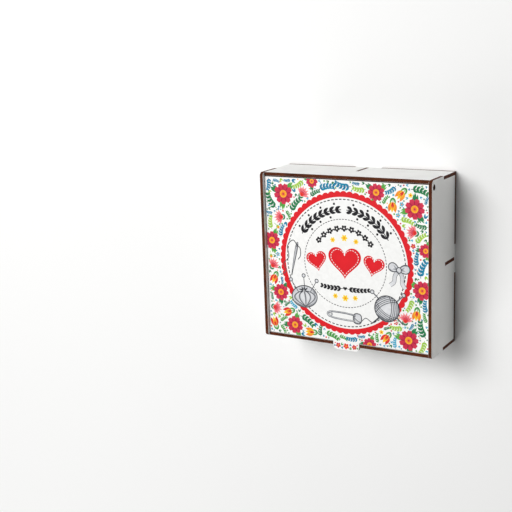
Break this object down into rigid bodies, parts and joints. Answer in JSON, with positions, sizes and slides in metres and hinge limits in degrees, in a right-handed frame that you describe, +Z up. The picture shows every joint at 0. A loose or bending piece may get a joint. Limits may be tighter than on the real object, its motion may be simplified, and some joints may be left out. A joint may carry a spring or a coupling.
{
  "type": "sewing box",
  "caption": "Flat rectangular sewing box with a recessed lid that swings up on pins at the rear, a finger tab at the front, and dividers that part the inside into compartments.",
  "frame": {"origin": "centre of the underside of the bottom panel, on the surface that the box stands on", "axes": "+X across the box to the right, +Y from the finger tab at the front to the hinge at the rear, +Z up"},
  "size_m": [0.16, 0.154, 0.055],
  "materials": {
    "faced_board": "satin white facing, edges browned by the laser",
    "printed_board": "satin white facing with a printed design, edges browned by the laser",
    "bare_board": "bare brown fibreboard"
  },
  "bodies": {
    "box": {"bottom_panel": "bare_board", "front_wall": "faced_board", "rear_wall": "faced_board", "left_wall": "faced_board", "right_wall": "faced_board", "middle_divider": "faced_board", "rear_divider": "faced_board"},
    "lid": {"lid": "printed_board"}
  },
  "joints": [
    {"name": "lid_hinge", "type": "hinge", "parent": "box", "child": "lid", "pos_m": [0, 0.06902, 0.0505], "axis": [-1, 0, 0], "range_deg": [0, 120]}
  ]
}
